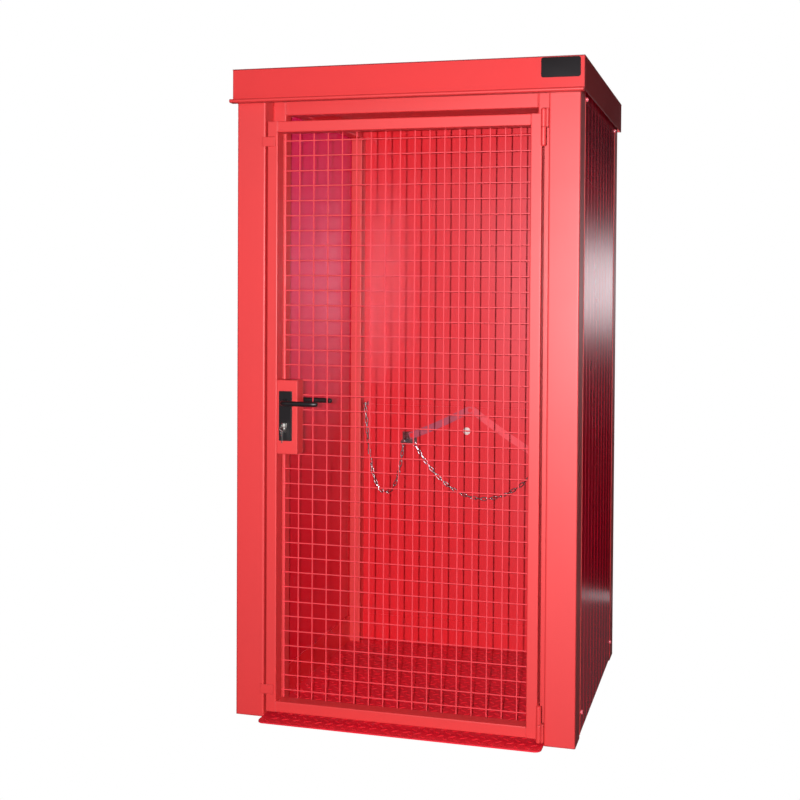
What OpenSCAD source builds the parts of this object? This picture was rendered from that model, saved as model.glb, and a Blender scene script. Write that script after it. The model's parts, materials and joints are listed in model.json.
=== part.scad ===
/* [Cabinet] */
// Width over the outer faces of the corner posts
cabinet_w = 1150; // [1000:10:1400]
// Depth over the outer faces of the corner posts
cabinet_d = 1010; // [800:10:1200]
// Height of the corner posts
post_h = 2086; // [1900:1:2300]
// Side of a square corner post, which is also the wall's thickness
post_s = 100; // [80:5:120]
// Sheet thickness of a corner post
post_t = 3; // [2:0.5:5]
// Outer corner radius of a corner post
post_r = 5; // [2:1:10]

/* [Inner frame] */
// Side of the square tube of the inner frame
tube_s = 46; // [40:1:50]
// Wall of the inner frame's tube
tube_t = 3; // [2:0.5:4]
// Outer corner radius of the inner frame's tube
tube_r = 4; // [1:0.5:8]
// Distance from the posts' front to the front uprights
upright_setback = 67; // [62:1:90]
// How far the lintel hangs below the other top rails
lintel_drop = 22; // [0:1:30]

/* [Walls] */
// Thickness of a wall or ceiling sheet
skin_t = 1.5; // [1:0.25:2]
// Gap between the ground and the wall panels
wall_lift = 10; // [5:1:20]
// Number of upright grooves in each side wall
side_grooves = 9; // [5:1:12]
// Depth of the step that forms a groove line
groove_d = 0.4; // [0.3:0.1:1]
// Width of a groove line
groove_w = 5; // [3:0.5:8]

/* [Roof] */
// Height of the fascia round the roof
fascia_h = 108; // [90:1:130]
// Top of the roof above the corner posts
roof_rise = 77; // [65:1:90]
// Thickness of the roof sheet
roof_t = 2; // [1:0.5:3]
// Overhang of the roof past the posts at the sides and rear
roof_over = 13; // [8:1:25]
// Overhang of the fascia past the posts at the front
roof_over_front = 9; // [5:1:20]
// Reach of the drip lip in front of the fascia
lip_reach = 30; // [15:1:45]
// Height of the drip lip
lip_h = 12; // [8:1:16]

/* [Floor] */
// Thickness of the floor plate
floor_t = 5; // [3:1:8]
// Reach of the sill in front of the posts
sill_reach = 59; // [30:1:80]
// Corner radius at the sill's front
sill_r = 22; // [5:1:30]
// Top of the kick plates round the floor
kick_h = 110; // [60:5:160]
// Thickness of the kick plates
kick_t = 3; // [2:0.5:5]

/* [Door] */
// Gap between the door leaf and the left post
gap_left = 8; // [6:1:12]
// Gap between the door leaf and the right post
gap_right = 21; // [18:1:26]
// Gap between the floor plate and the door leaf
gap_bottom = 15; // [10:1:30]
// Distance from the top of the posts down to the door leaf
gap_top = 98; // [85:1:150]
// Face width of the door's tube
stile_w = 36; // [30:1:45]
// Depth of the door's tube
stile_d = 50; // [40:1:52]
// Wall of the door's tube
stile_t = 2; // [1.5:0.5:3]
// Outer corner radius of the door's tube
stile_r = 3; // [1:0.5:5]
// How far the door's face stands in front of the posts
leaf_proud = 1; // [0.5:0.5:3]

/* [Mesh] */
// Pitch of the welded mesh
mesh_pitch = 50; // [40:5:75]
// Diameter of a mesh wire
wire_d = 4; // [3:0.5:5]
// How far the mesh sits off the leaf's centre towards the hinges
mesh_shift = 9; // [-10:1:10]

/* [Lock] */
// Width of the lock case
case_w = 72; // [60:1:90]
// Height of the lock case
case_h = 245; // [220:5:300]
// Sheet thickness of the lock case
case_t = 2.5; // [1.5:0.5:4]
// Height of the lever's axis above the ground
lever_z = 1058; // [950:1:1100]
// Distance from the lever's axis down to the lock cylinder
cylinder_drop = 75; // [70:1:80]
// Width of a handle plate
plate_w = 44; // [38:1:50]
// Height of a handle plate
plate_h = 165; // [150:1:180]
// Thickness of a handle plate
plate_t = 8; // [5:1:10]
// Length of the lever from its axis
lever_len = 128; // [100:1:140]
// Height of the lever's grip
lever_h = 17; // [12:1:20]
// Reach of the lever from the handle plate
lever_reach = 46; // [38:1:48]
// Width of a stop tab
tab_w = 46; // [35:1:55]
// Height of a stop tab
tab_h = 31; // [20:1:40]
// Thickness of a stop tab
tab_t = 5; // [3:1:6]

/* [Hinges] */
// Diameter of the hinge barrel
barrel_d = 17; // [14:1:18]
// Length of the whole hinge barrel
barrel_len = 120; // [100:5:140]
// Diameter of the hinge pin
pin_d = 10; // [8:1:11]
// Distance from the leaf's edge out to the hinge's axis
hinge_out = 6; // [5:0.5:8]
// Distance from the leaf's face forward to the hinge's axis
hinge_front = 7; // [6:0.5:9]
// Depth of the plates that weld the hinge to the leaf and the post
tang_d = 24; // [16:1:30]

/* [Chain] */
// Wire diameter of a chain link
link_d = 4; // [3:0.5:4.5]
// Inner length of a chain link
link_len = 21; // [19:0.5:23]
// Outer width of a chain link
link_w = 14; // [13:0.5:16]
// Height of the chain's ends above the ground
anchor_z = 975; // [900:5:1050]
// Height of the bracket that carries the chain's middle
bracket_z = 834; // [780:1:900]
// Place of the bracket, left of the cabinet's middle
bracket_x = -235; // [-300:5:-150]
// Pairs of links left of the bracket
pairs_left = 15; // [14:1:17]
// Pairs of links right of the bracket
pairs_right = 22; // [21:1:25]
// Height of the flat rail on the rear wall
chain_rail_h = 80; // [50:5:100]
// Thickness of the flat rail on the rear wall
chain_rail_t = 6; // [4:1:10]
// Underside of the flat rail
chain_rail_z = 886; // [860:1:950]

/* [Strap] */
// Width of the webbing strap
strap_w = 28; // [20:1:40]
// Thickness of the webbing strap
strap_t = 2; // [1.5:0.5:3]
// Height of the strap's upper turn on the rail
strap_top_z = 955; // [930:5:960]
// Height of the strap's right end
strap_end_z = 735; // [700:5:800]

/* [Hidden] */
$fn = 48;

// Clearance between pieces that seat on each other without touching
seat_gap = 0.3;
// Radial clearance of the hinge pin in its sleeve
pin_gap = 0.05;
// Radial clearance of the lever's neck in the handle plate
neck_gap = 0.3;

// Inner faces of the walls and of the corner posts
inner_x = cabinet_w / 2 - post_s;
inner_y = cabinet_d - post_s;
// The overall box is centred on the origin
roof_top = post_h + roof_rise;
roof_rear = cabinet_d + roof_over;
front_reach = max(sill_reach, roof_over_front + lip_reach);
shift_y = (front_reach - roof_rear) / 2;

// The front uprights and the rear uprights
upright_x = inner_x - tube_s;
upright_front_y = upright_setback;
upright_rear_y = inner_y - tube_s;
ring_top = post_h - skin_t - seat_gap;
ring_z = ring_top - tube_s;

// The door leaf
leaf_left = -inner_x + gap_left;
leaf_right = inner_x - gap_right;
leaf_w = leaf_right - leaf_left;
leaf_bottom = floor_t + gap_bottom;
leaf_top = post_h - gap_top;
leaf_h = leaf_top - leaf_bottom;
leaf_face = -leaf_proud;
leaf_back = leaf_face + stile_d;

// The mesh is welded on the back of the leaf
wires_across = floor((leaf_w - stile_w) / mesh_pitch) + 1;
wires_up = floor((leaf_h - stile_w / 2) / mesh_pitch) + 1;
mesh_w = (wires_across - 1) * mesh_pitch;
mesh_h = (wires_up - 1) * mesh_pitch;
mesh_left = (leaf_left + leaf_right - mesh_w) / 2 + mesh_shift;
mesh_bottom = leaf_bottom + (leaf_h - mesh_h) / 2;
// Crossed wires sink into each other by this much where they are welded
weld_sink = 0.8;
wire_sides = 6;
upright_wire_y = leaf_back + wire_d / 2;
level_wire_y = upright_wire_y + wire_d - weld_sink;
mesh_end = 10;
mesh_half = floor(wires_up / 2);

// The lock
case_left = leaf_left + stile_w;
case_right = case_left + case_w;
case_bottom = lever_z - cylinder_drop / 2 - case_h / 2 - 12;
case_front = leaf_face + 3;
case_back = level_wire_y + wire_d / 2;
lever_x = case_left + case_w / 2 - 4;
plate_z = lever_z - cylinder_drop / 2 - 8;
cylinder_z = lever_z - cylinder_drop;
cylinder_r = 8.5;
lobe_r = 5;
lobe_drop = 19.5;
cylinder_proud = 3;
spindle_r = 5;
neck_r = lever_h / 2 + 1.5;
neck_proud = 5;

// The hinges
hinge_x = leaf_right + hinge_out;
hinge_y = leaf_face - hinge_front;
hinge_low_z = leaf_bottom - 10;
hinge_top_z = leaf_top + 16 - barrel_len;
half_gap = 0.4;

// The chain hangs in one upright plane in front of the rail
chain_y = inner_y - chain_rail_t - link_w / 2 - 6;

// A rectangle with round corners, lower left corner at the origin
module round_rect(w, d, r) {
    translate([0, r])
        square([w, d - 2 * r]);
    translate([r, 0])
        square([w - 2 * r, d]);
    for (x = [r, w - r], y = [r, d - r])
        translate([x, y])
            circle(r);
}

// A square or flat tube standing on z = 0, closed with a plate at both ends
module box_tube(w, d, h, t, r) {
    difference() {
        linear_extrude(h)
            round_rect(w, d, r);
        translate([t, t, t])
            linear_extrude(h - 2 * t)
                round_rect(w - 2 * t, d - 2 * t, max(r - t, 0.5));
    }
}

// The same tube lying along X, with its section in Y and Z
module box_tube_x(length, d, h, t, r) {
    rotate([90, 0, 90])
        box_tube(d, h, length, t, r);
}

module corner_post(left, front) {
    x = left ? -cabinet_w / 2 : inner_x;
    y = front ? 0 : inner_y;
    color("crimson")
        translate([x, y, 0])
            box_tube(post_s, post_s, post_h, post_t, post_r);
}

module upright_pair(y) {
    color("crimson")
        for (x = [-inner_x, upright_x])
            translate([x, y, floor_t])
                box_tube(tube_s, tube_s, ring_z - floor_t, tube_t, tube_r);
}

module upright_front() {
    color("crimson")
        for (x = [-inner_x, upright_x])
            translate([x, upright_front_y, floor_t])
                box_tube(tube_s, tube_s, ring_top - floor_t, tube_t, tube_r);
}

module upright_rear() {
    upright_pair(upright_rear_y);
}

// The lintel is deeper than the other rails and fits between the front uprights
module lintel() {
    color("crimson")
        translate([-upright_x, upright_front_y, ring_z - lintel_drop])
            box_tube_x(2 * upright_x, tube_s, tube_s + lintel_drop, tube_t, tube_r);
}

module top_rail_rear() {
    color("crimson")
        translate([-inner_x, upright_rear_y, ring_z])
            box_tube_x(2 * inner_x, tube_s, tube_s, tube_t, tube_r);
}

module top_rail_sides() {
    start = upright_front_y + tube_s;
    color("crimson")
        for (x = [-inner_x, upright_x])
            translate([x + tube_s, start, ring_z])
                rotate([90, 0, 180])
                    box_tube(tube_s, tube_s, upright_rear_y - start, tube_t, tube_r);
}

// One plate is the floor inside and the rounded sill in front
module floor_plate() {
    color("firebrick")
        linear_extrude(floor_t)
            difference() {
                union() {
                    translate([-inner_x, -sill_reach + sill_r])
                        square([2 * inner_x, inner_y + sill_reach - sill_r]);
                    translate([-inner_x + sill_r, -sill_reach])
                        square([2 * (inner_x - sill_r), 2 * sill_r]);
                    for (x = [-1, 1])
                        translate([x * (inner_x - sill_r), -sill_reach + sill_r])
                            circle(sill_r);
                }
            }
}

module kick_plate_rear() {
    color("firebrick")
        translate([-upright_x, inner_y - kick_t, floor_t])
            cube([2 * upright_x, kick_t, kick_h - floor_t]);
}

module kick_plate_sides() {
    start = upright_front_y + tube_s;
    color("firebrick")
        for (x = [-inner_x, inner_x - kick_t])
            translate([x, start, floor_t])
                cube([kick_t, upright_rear_y - start, kick_h - floor_t]);
}

// A flat sheet with upright groove lines pressed into its outer face, which looks along -Y
module grooved_sheet(w, h, grooves) {
    pitch = w / (grooves + 1);
    difference() {
        cube([w, skin_t, h]);
        for (i = [1:grooves])
            translate([i * pitch - groove_w / 2, -1, -1])
                cube([groove_w, 1 + min(groove_d, skin_t - 0.4), h + 2]);
    }
}

wall_h = post_h - wall_lift;
side_wall_d = cabinet_d - 2 * post_s;

module side_wall(side) {
    color("crimson")
        translate([0, post_s, wall_lift]) {
            translate([side * cabinet_w / 2, side < 0 ? side_wall_d : 0, 0])
                rotate([0, 0, side * 90])
                    grooved_sheet(side_wall_d, wall_h, side_grooves);
            translate([side < 0 ? -inner_x - skin_t : inner_x, 0, 0])
                cube([skin_t, side_wall_d, wall_h]);
        }
}

module wall_left() {
    side_wall(-1);
}

module wall_right() {
    side_wall(1);
}

module wall_rear() {
    color("crimson") {
        translate([inner_x, cabinet_d, wall_lift])
            rotate([0, 0, 180])
                grooved_sheet(2 * inner_x, wall_h, side_grooves);
        translate([-inner_x, inner_y, wall_lift])
            cube([2 * inner_x, skin_t, wall_h]);
    }
}

// The filling between the two skins of each wall
module wall_cores() {
    core_t = post_s - 2 * skin_t;
    color("khaki") {
        for (x = [-cabinet_w / 2 + skin_t, inner_x + skin_t])
            translate([x, post_s, wall_lift])
                cube([core_t, side_wall_d, wall_h]);
        translate([-inner_x, inner_y + skin_t, wall_lift])
            cube([2 * inner_x, core_t, wall_h]);
    }
}

module ceiling_sheet() {
    start = upright_front_y;
    color("crimson")
        translate([-inner_x, start, ring_top])
            cube([2 * inner_x, inner_y - start, skin_t]);
}

module roof_core() {
    color("khaki")
        translate([-cabinet_w / 2, 0, post_h])
            cube([cabinet_w, cabinet_d, roof_rise - roof_t]);
}

// A folded cap: flat top with a fascia on all four sides
module roof_cap() {
    w = cabinet_w + 2 * roof_over;
    d = roof_over_front + cabinet_d + roof_over;
    color("crimson")
        translate([-w / 2, -roof_over_front, roof_top - fascia_h])
            difference() {
                cube([w, d, fascia_h]);
                translate([roof_t, roof_t, -1])
                    cube([w - 2 * roof_t, d - 2 * roof_t, fascia_h - roof_t + 1]);
            }
}

// The folded lip at the foot of the front fascia, round along its front edge
module drip_lip() {
    w = cabinet_w + 2 * roof_over;
    r = lip_h / 2;
    color("crimson")
        translate([-w / 2, -roof_over_front, roof_top - fascia_h - r])
            rotate([90, 0, 90])
                linear_extrude(w) {
                    translate([-lip_reach + r, r])
                        circle(r);
                    translate([-lip_reach + r, 0])
                        square([lip_reach - r, lip_h]);
                }
}

module chain_rail() {
    color("crimson")
        translate([-upright_x, inner_y - chain_rail_t, chain_rail_z])
            cube([2 * upright_x, chain_rail_t, chain_rail_h]);
}

// A hanging chain is a line of stiff links. Between one link and the next the slope grows by
// the same step, so link k has the slope (k - low) / stiff, with low the place of the lowest link.
function link_cos(k, low, stiff) = 1 / sqrt(1 + pow((k - low) / stiff, 2));
function span_of(lens, low, stiff) =
    sum([for (k = [0:len(lens) - 1]) lens[k] * link_cos(k, low, stiff)]);
function rise_of(lens, low, stiff) =
    sum([for (k = [0:len(lens) - 1]) lens[k] * link_cos(k, low, stiff) * (k - low) / stiff]);
function sum(v, i = 0, total = 0) = i == len(v) ? total : sum(v, i + 1, total + v[i]);

// The lowest link's place for a given rise, found by halving
function find_low(lens, stiff, rise, lo, hi, n) =
    let (mid = (lo + hi) / 2)
    n == 0 ? mid
    : rise_of(lens, mid, stiff) > rise ? find_low(lens, stiff, rise, mid, hi, n - 1)
    : find_low(lens, stiff, rise, lo, mid, n - 1);

// The chain's stiffness for a given span, found by halving
function find_stiff(lens, span, rise, lo, hi, n) =
    let (mid = (lo + hi) / 2, low = find_low(lens, mid, rise, -len(lens), 2 * len(lens), 30))
    n == 0 ? [low, mid]
    : span_of(lens, low, mid) > span ? find_stiff(lens, span, rise, lo, mid, n - 1)
    : find_stiff(lens, span, rise, mid, hi, n - 1);

// The joints between the links of a chain that hangs from p to q
function chain_points(p, q, lens) =
    let (
        found = find_stiff(lens, q[0] - p[0], q[1] - p[1], 0.02, 3 * len(lens), 34),
        steps = [for (k = [0:len(lens) - 1])
            let (c = link_cos(k, found[0], found[1])) lens[k] * [c, c * (k - found[0]) / found[1]]]
    )
    run(steps, p);
function run(steps, at, i = 0) = i == len(steps) ? [at] : concat([at], run(steps, at + steps[i], i + 1));

// One link along X: two round bars joined by two half rings
module link() {
    straight = (link_len + link_d) / 2 - link_bend;
    for (side = [-1, 1]) {
        translate([-straight, side * link_bend, 0])
            rotate([0, 90, 0])
                cylinder(d = link_d, h = 2 * straight, $fn = 16);
        translate([side * straight, 0, 0])
            rotate([0, 0, -90 * side])
                rotate_extrude(angle = 180, $fn = 24)
                    translate([link_bend, 0])
                        circle(d = link_d, $fn = 16);
    }
}

// Links between the joints, turned by a quarter from one to the next
module chain(points, first_turn) {
    color("lightgrey")
        for (i = [0:len(points) - 2]) {
            p = points[i];
            q = points[i + 1];
            translate([(p[0] + q[0]) / 2, chain_y, (p[1] + q[1]) / 2])
                rotate([0, -atan2(q[1] - p[1], q[0] - p[0]), 0])
                    rotate([90 * ((i + first_turn) % 2), 0, 0])
                        link();
        }
}

// A link that lies flat to the front is pulled at its bend's centre, the next one, which
// stands on edge, at its end wire's centre. joint_play is half the way between the two.
link_bend = (link_w - link_d) / 2;
joint_play = (link_bend - link_d - seat_gap) / 2;
edge_len = link_len + link_d + 2 * joint_play;
flat_len = edge_len - 2 * link_bend;
peg_r = link_bend - link_d / 2 - 0.5;
peg_head_r = 9;
peg_head_t = 3;
peg_front = chain_y - link_w / 2 - 2;
anchor_len = link_w + 6;
anchor_x = upright_x - anchor_len / 2;
bracket_w = 60;
bracket_h = 52;
bracket_t = 4;
bracket_peg_x = 21;
bracket_peg_z = bracket_z - 12;

left_points = chain_points([-anchor_x, anchor_z], [bracket_x - bracket_peg_x, bracket_peg_z],
    [for (k = [1:pairs_left], len = [edge_len, flat_len]) len]);
right_points = chain_points([bracket_x + bracket_peg_x, bracket_peg_z], [anchor_x, anchor_z],
    [for (k = [1:pairs_right], len = [flat_len, edge_len]) len]);
left_last = len(left_points) - 1;
right_last = len(right_points) - 1;

// Where a peg sits inside the end link, by the given way along it from p towards q
function peg_place(p, q, way) = p + (q - p) / norm(q - p) * way;

// A flat end link hangs on its peg at the bend's centre, an end link on edge by its end wire
flat_peg_way = joint_play;
function edge_peg_way(p, q) =
    joint_play + (peg_r + link_d / 2 + seat_gap) * norm(q - p) / abs(q[1] - p[1]);

module chain_left() {
    chain(left_points, 0);
}

module chain_right() {
    chain(right_points, 1);
}

// A headed peg along -Y from the rear wall
module wall_peg(p, back, front) {
    translate([p[0], back, p[1]])
        rotate([90, 0, 0])
            cylinder(r = peg_r, h = back - front);
    translate([p[0], front, p[1]])
        rotate([90, 0, 0])
            cylinder(r = peg_head_r, h = peg_head_t);
}

// A plate on the rear wall with two headed pegs for the chain's middle
module chain_bracket() {
    color("lightgrey") {
        translate([bracket_x - bracket_w / 2, inner_y - bracket_t, bracket_z - bracket_h / 2])
            cube([bracket_w, bracket_t, bracket_h]);
        wall_peg(peg_place(left_points[left_last], left_points[left_last - 1], flat_peg_way),
            inner_y - bracket_t, peg_front);
        wall_peg(peg_place(right_points[0], right_points[1], flat_peg_way),
            inner_y - bracket_t, peg_front);
    }
}

// A headed peg on the inner side of each rear upright, through the chain's end link
module chain_anchors() {
    ends = [[-1, left_points[0], left_points[1]],
        [1, right_points[right_last], right_points[right_last - 1]]];
    color("lightgrey")
        for (e = ends) {
            place = peg_place(e[1], e[2], edge_peg_way(e[1], e[2]));
            translate([e[0] * upright_x, chain_y, place[1]])
                rotate([0, -90 * e[0], 0]) {
                    cylinder(r = peg_r, h = anchor_len);
                    translate([0, 0, anchor_len])
                        cylinder(r = peg_head_r, h = peg_head_t);
                }
        }
}

// Free way between the strap and the rail behind it
strap_off = 2;
strap_y = inner_y - chain_rail_t - strap_off;
strap_top = [16, strap_top_z];
strap_start = [bracket_x, bracket_z + 8];
strap_end = [upright_x - 40, strap_end_z];
strap_hole_r = peg_r + seat_gap;
strap_turn_r = 34;
strap_hem = 12;

// Points on a slack line from p to q that sags by the given amount
function slack(p, q, sag, n) =
    [for (i = [0:n]) let (t = i / n) [p[0] + t * (q[0] - p[0]), p[1] + t * (q[1] - p[1]) - 4 * sag * t * (1 - t)]];
function slope(p, q) = atan2(q[1] - p[1], q[0] - p[0]);
function turn(angle) = strap_top + strap_turn_r * [cos(angle), sin(angle) - 1];

// The strap's middle line: up from the bracket, round its turn and down to the right
turn_from = 90 + slope(strap_start, strap_top);
turn_to = 90 + slope(strap_top, strap_end);
strap_line = concat(
    slack(strap_start, turn(turn_from), 5, 8),
    [for (i = [1:5]) turn(turn_from + i * (turn_to - turn_from) / 6)],
    slack(turn(turn_to), strap_end, 12, 12)
);

// The flat band along a line's points, as one outline
module band(points, w) {
    last = len(points) - 1;
    normals = [for (i = [0:last])
        let (a = points[max(i - 1, 0)], b = points[min(i + 1, last)], l = norm(b - a))
        [-(b[1] - a[1]) / l, (b[0] - a[0]) / l]];
    lower = [for (i = [0:last]) points[i] - normals[i] * w / 2];
    upper = [for (i = [last:-1:0]) points[i] + normals[i] * w / 2];
    polygon(concat(lower, upper));
}

function on_line(p, q, way) = p + (q - p) / norm(q - p) * way;
strap_last = len(strap_line) - 1;
strap_holes = [
    on_line(strap_line[0], strap_line[1], strap_hem),
    strap_top,
    on_line(strap_line[strap_last], strap_line[strap_last - 1], strap_hem)
];

// The strap, with an eyelet near each end and one at its turn
module strap() {
    color("darkgrey")
        translate([0, strap_y, 0])
            rotate([90, 0, 0])
                linear_extrude(strap_t)
                    difference() {
                        band(strap_line, strap_w);
                        for (p = strap_holes)
                            translate(p)
                                circle(strap_hole_r);
                    }
}

boss_r = 15;
boss_h = 8;

// Headed pegs through the strap's eyelets
module strap_pegs() {
    front = strap_y - strap_t - seat_gap;
    backs = [inner_y - bracket_t, inner_y - chain_rail_t, inner_y];
    color("lightgrey")
        for (i = [0:2])
            wall_peg(strap_holes[i], backs[i], front);
}

// The domed cap on the rear wall, just below the rail's middle
module wall_boss() {
    dome_r = (boss_r * boss_r + boss_h * boss_h) / 2 / boss_h;
    color("silver")
        translate([0, inner_y, chain_rail_z - boss_r - 1])
            rotate([90, 0, 0])
                intersection() {
                    cylinder(r = boss_r, h = boss_h);
                    translate([0, 0, boss_h - dome_r])
                        sphere(r = dome_r);
                }
}

module stile_left() {
    color("red")
        translate([leaf_left, leaf_face, leaf_bottom])
            box_tube(stile_w, stile_d, leaf_h, stile_t, stile_r);
}

module stile_right() {
    color("red")
        translate([leaf_right - stile_w, leaf_face, leaf_bottom])
            box_tube(stile_w, stile_d, leaf_h, stile_t, stile_r);
}

module door_rail(z) {
    color("red")
        translate([leaf_left + stile_w, leaf_face, z])
            box_tube_x(leaf_w - 2 * stile_w, stile_d, stile_w, stile_t, stile_r);
}

module door_rail_top() {
    door_rail(leaf_top - stile_w);
}

module door_rail_bottom() {
    door_rail(leaf_bottom);
}

// Welded mesh from one level wire to another, with its uprights cut between z1 and z2
module mesh_part(first, last, z1, z2) {
    color("orangered")
        difference() {
            union() {
                for (i = [0:wires_across - 1])
                    translate([mesh_left + i * mesh_pitch, upright_wire_y, z1])
                        cylinder(d = wire_d, h = z2 - z1, $fn = wire_sides);
                for (j = [first:last])
                    translate([mesh_left - mesh_end, level_wire_y, mesh_bottom + j * mesh_pitch])
                        rotate([0, 90, 0])
                            cylinder(d = wire_d, h = mesh_w + 2 * mesh_end, $fn = wire_sides);
            }
            translate([case_left - mesh_end * 2, leaf_back - 1, case_bottom])
                cube([case_w + mesh_end * 2, 20, case_h]);
        }
}

mesh_split = mesh_bottom + (mesh_half - 0.5) * mesh_pitch;

module mesh_lower() {
    mesh_part(0, mesh_half - 1, mesh_bottom - mesh_end, mesh_split - seat_gap / 2);
}

module mesh_upper() {
    mesh_part(mesh_half, wires_up - 1, mesh_split + seat_gap / 2, mesh_bottom + mesh_h + mesh_end);
}

// The lock case is welded to the stile and fills the mesh's cut-out
module lock_case() {
    color("red")
        difference() {
            translate([case_left, case_front, case_bottom])
                cube([case_w, case_back - case_front, case_h]);
            translate([case_left + case_t, case_front + case_t, case_bottom + case_t])
                cube([case_w - 2 * case_t, case_back - case_front - 2 * case_t, case_h - 2 * case_t]);
            translate([lever_x, case_front - 1, lever_z])
                rotate([-90, 0, 0])
                    cylinder(r = spindle_r + neck_gap, h = case_back - case_front + 2);
        }
}

// How far a stop tab laps over the post, and its distance from the leaf's end
tab_lap = gap_left + 10;
tab_end = 60;

// Flat stops on the left stile that close against the left post
module stop_tabs() {
    color("red")
        for (z = [leaf_bottom + tab_end, leaf_top - tab_end - tab_h + 9])
            translate([leaf_left - tab_lap, leaf_face - tab_t, z])
                cube([tab_w, tab_t, tab_h]);
}

half_len = barrel_len / 2;
dome_h = barrel_d / 4;
pin_reach = half_len - 2 * dome_h;

// Half a hinge barrel standing on z = 0, with a domed end on top
module barrel_half() {
    dome_r = (barrel_d * barrel_d / 4 + dome_h * dome_h) / 2 / dome_h;
    straight = half_len - half_gap - dome_h;
    cylinder(d = barrel_d, h = straight);
    translate([0, 0, straight])
        intersection() {
            cylinder(d = barrel_d, h = dome_h);
            translate([0, 0, dome_h - dome_r])
                sphere(r = dome_r);
        }
}

// The post's half with its pin, in the pose of the lower hinge turned upside down:
// the barrel stands on z = 0 and the pin points down
module pin_half() {
    tang_t = inner_x - hinge_x - hinge_out + 2;
    barrel_half();
    translate([0, 0, -pin_reach])
        cylinder(d = pin_d, h = pin_reach + half_len / 2);
    translate([inner_x - hinge_x - tang_t, hinge_out / 3, 0])
        cube([tang_t, tang_d - hinge_out / 2, half_len - half_gap]);
}

// The leaf's half with its bore, standing on z = 0 with the bore open at the bottom
module sleeve_half() {
    difference() {
        union() {
            barrel_half();
            translate([-hinge_out, hinge_front - hinge_out / 2, 0])
                cube([hinge_out - 2, tang_d, half_len - half_gap]);
        }
        translate([0, 0, -1])
            cylinder(r = pin_d / 2 + pin_gap, h = pin_reach + 2);
    }
}

// Puts a half on the hinge's axis: upright from z, or hanging down from z
module hinge_place(z, up) {
    translate([hinge_x, hinge_y, z])
        if (up)
            children();
        else
            mirror([0, 0, 1])
                children();
}

// The lower hinge has its pin half below, and the upper one above, so the leaf can't be lifted off
module hinge_pins() {
    color("red") {
        hinge_place(hinge_low_z + half_len - half_gap, false)
            pin_half();
        hinge_place(hinge_top_z + half_len + half_gap, true)
            pin_half();
    }
}

module hinge_sleeves() {
    color("red") {
        hinge_place(hinge_low_z + half_len + half_gap, true)
            sleeve_half();
        hinge_place(hinge_top_z + half_len - half_gap, false)
            sleeve_half();
    }
}

// The usual outline of a profile cylinder, grown by the given clearance
module cylinder_outline(extra) {
    circle(cylinder_r + extra);
    translate([-lobe_r - extra, -lobe_drop])
        square([2 * (lobe_r + extra), lobe_drop]);
    translate([0, -lobe_drop])
        circle(lobe_r + extra);
}

// A handle plate with the holes for the lever's neck and the cylinder
module handle_plate(y) {
    color("black")
        translate([lever_x, y, 0])
            rotate([90, 0, 0])
                difference() {
                    translate([-plate_w / 2, plate_z - plate_h / 2, 0])
                        linear_extrude(plate_t)
                            round_rect(plate_w, plate_h, 3);
                    translate([0, lever_z, -1])
                        cylinder(r = neck_r + neck_gap, h = plate_t + 2);
                    translate([0, cylinder_z, -1])
                        linear_extrude(plate_t + 2)
                            cylinder_outline(seat_gap);
                }
}

module handle_plate_outer() {
    handle_plate(case_front);
}

module handle_plate_inner() {
    handle_plate(case_back + plate_t);
}

// The lock cylinder stands a little proud of both plates
module lock_cylinder() {
    color("silver")
        for (y = [case_front, case_back + plate_t + cylinder_proud])
            translate([lever_x, y, cylinder_z])
                rotate([90, 0, 0])
                    linear_extrude(plate_t + cylinder_proud)
                        cylinder_outline(0);
}

key_front = case_front - plate_t - cylinder_proud;
key_t = 2.4;
key_w = 8;
bow_r = 10;
bow_hole_r = 3;
blade_len = 22;
ring_r = 8;
ring_wire_r = 1;
ring_play = bow_hole_r - ring_wire_r - seat_gap;

// A key in the upright plane across X: its bow is centred on the origin and its blade
// points along -Z; the bow's hole is on the other side
module key_shape(shown) {
    rotate([0, -90, 0])
        translate([0, 0, -key_t / 2])
            linear_extrude(key_t)
                difference() {
                    union() {
                        circle(bow_r);
                        translate([-bow_r - shown, -key_w / 2])
                            square([bow_r + shown, key_w]);
                    }
                    translate([bow_r - bow_hole_r - 2, 0])
                        circle(bow_hole_r);
                }
}

// One key in the lock, and a second that hangs from its ring
module key() {
    hole_at = bow_r - bow_hole_r - 2;
    lock_bow_y = key_front - bow_r - key_w;
    ring_top_z = cylinder_z - ring_play;
    hung_hole_z = ring_top_z - 2 * ring_r - ring_play;
    color("silver") {
        translate([lever_x, lock_bow_y, cylinder_z])
            rotate([90, 0, 0])
                key_shape(key_w);
        translate([lever_x, lock_bow_y - hole_at, ring_top_z - ring_r])
            rotate([90, 0, 0])
                rotate_extrude()
                    translate([ring_r, 0])
                        circle(ring_wire_r);
        translate([lever_x, lock_bow_y - hole_at, hung_hole_z - hole_at])
            key_shape(blade_len);
    }
}

elbow_r = 16;
tail_r = 45;
tail_turn = 28;

// An arc of round bar in the XZ plane: it starts at the angle and turns on by the given sweep
module bar_arc(r, start, sweep) {
    rotate([90, 0, 0])
        rotate([0, 0, start])
            rotate_extrude(angle = sweep)
                translate([r, 0])
                    circle(d = lever_h);
}

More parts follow.
